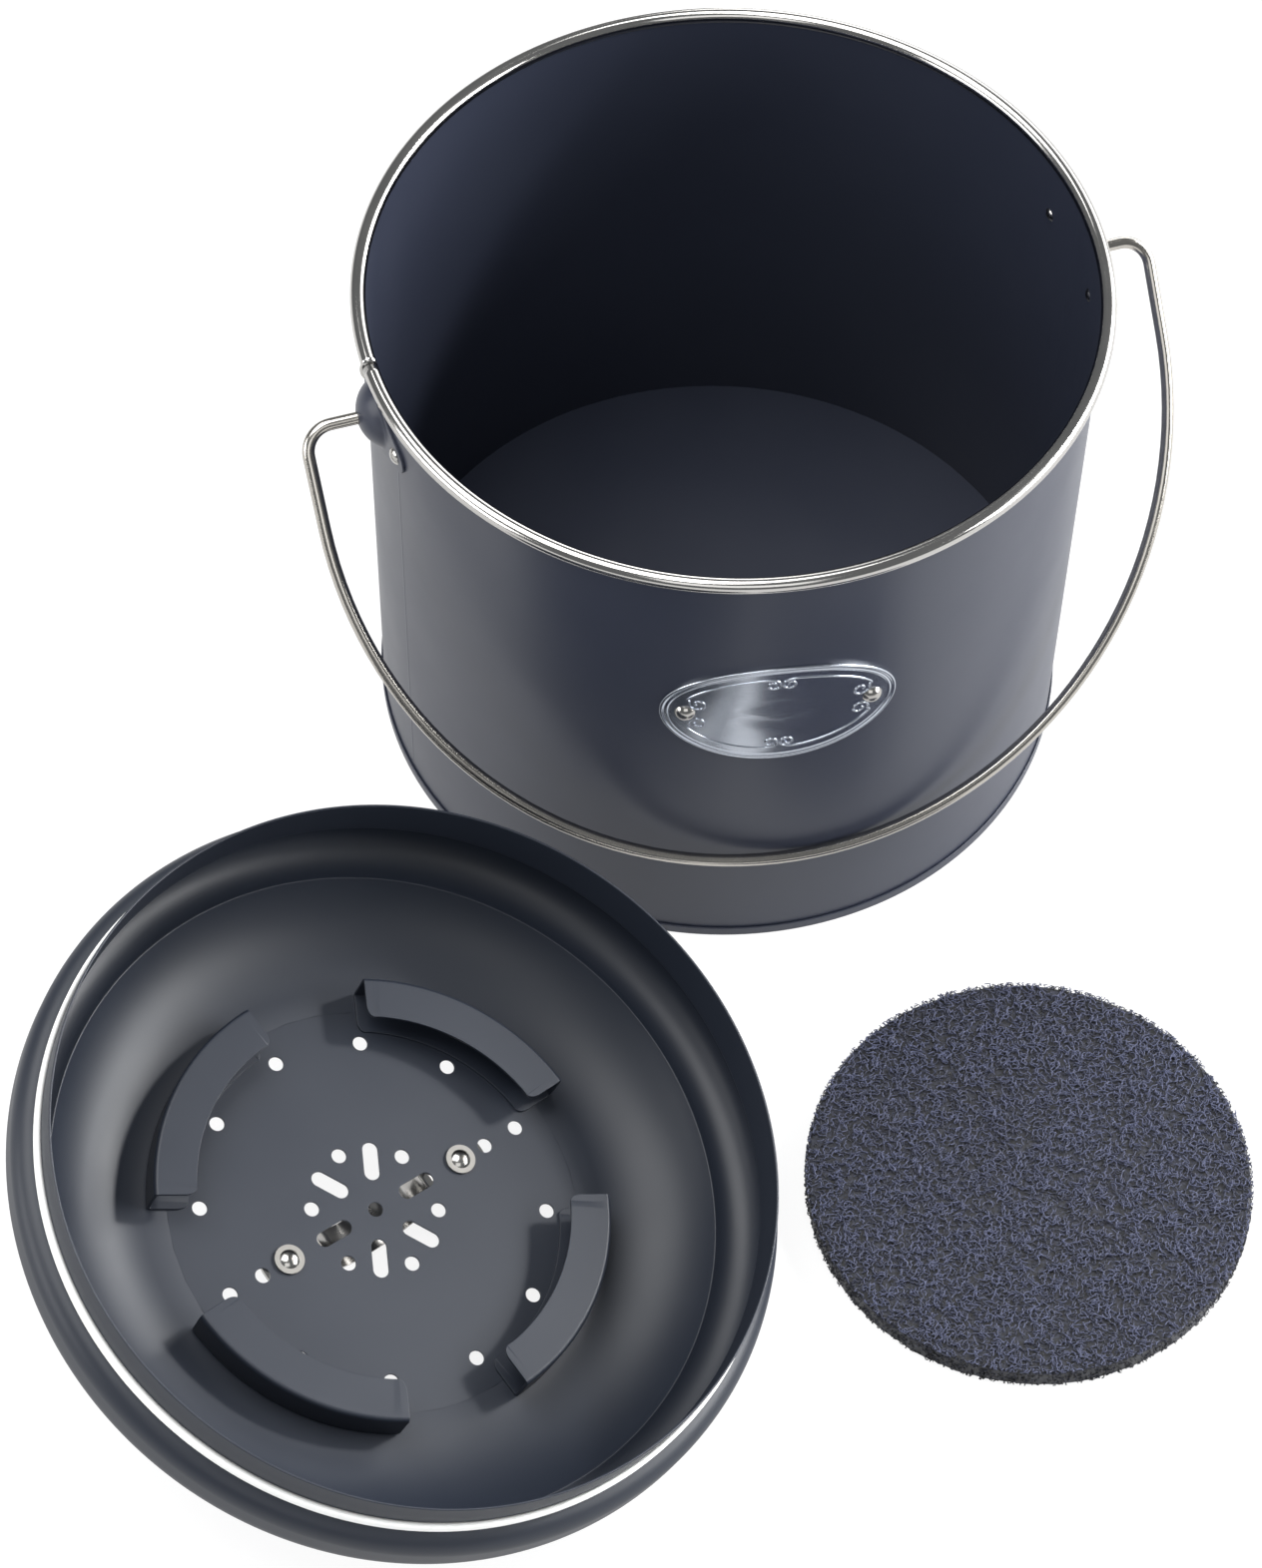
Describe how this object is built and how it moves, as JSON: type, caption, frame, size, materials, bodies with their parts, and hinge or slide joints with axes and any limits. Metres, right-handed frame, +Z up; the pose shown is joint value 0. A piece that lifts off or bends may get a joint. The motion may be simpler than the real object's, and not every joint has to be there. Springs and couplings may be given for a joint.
{
  "type": "compost bin",
  "caption": "Straight-sided metal kitchen compost pail with a swinging wire bail, an oval plate, a vented lid laid upside down beside it and a round charcoal filter pad.",
  "frame": {"origin": "middle of the pail's foot, on the surface that it stands on", "axes": "+Z up, X along the bail's hinge axis through both ears, -Y to the front where the bail hangs"},
  "size_m": [0.4467, 0.4582, 0.2042],
  "materials": {
    "slate_paint": "satin powder coat",
    "black_paint": "satin powder coat",
    "polished_steel": "polished",
    "bright_wire": "drawn and polished",
    "plate_steel": "polished",
    "rivet_steel": "bright",
    "white_silicone": "matte",
    "charcoal_felt": "matted fibre"
  },
  "bodies": {
    "pail": {"pail_body": "slate_paint", "pail_base": "slate_paint", "rim_bead": "polished_steel", "left_ear": "slate_paint", "right_ear": "slate_paint", "left_ear_rivets": "rivet_steel", "right_ear_rivets": "rivet_steel", "nameplate": "plate_steel", "nameplate_rivets": "rivet_steel"},
    "bail": {"bail_wire": "bright_wire"},
    "lid": {"lid_shell": "black_paint", "lid_seal": "white_silicone", "filter_clip_1": "black_paint", "filter_clip_2": "black_paint", "filter_clip_3": "black_paint", "filter_clip_4": "black_paint", "lid_handle": "polished_steel", "lid_handle_rivets": "rivet_steel", "lid_handle_washers": "rivet_steel"},
    "filter": {"charcoal_filter": "charcoal_felt"}
  },
  "joints": [
    {"name": "bail_swing", "type": "hinge", "parent": "pail", "child": "bail", "pos_m": [0, 0, 0.179], "axis": [-1, 0, 0], "range_deg": [0, 272.97]},
    {"name": "lid_lift", "type": "slide", "parent": "pail", "child": "lid", "axis": [0, 0, 1], "range_m": [0, 0.3]},
    {"name": "filter_lift", "type": "slide", "parent": "pail", "child": "filter", "axis": [0, 0, 1], "range_m": [0, 0.3]}
  ]
}
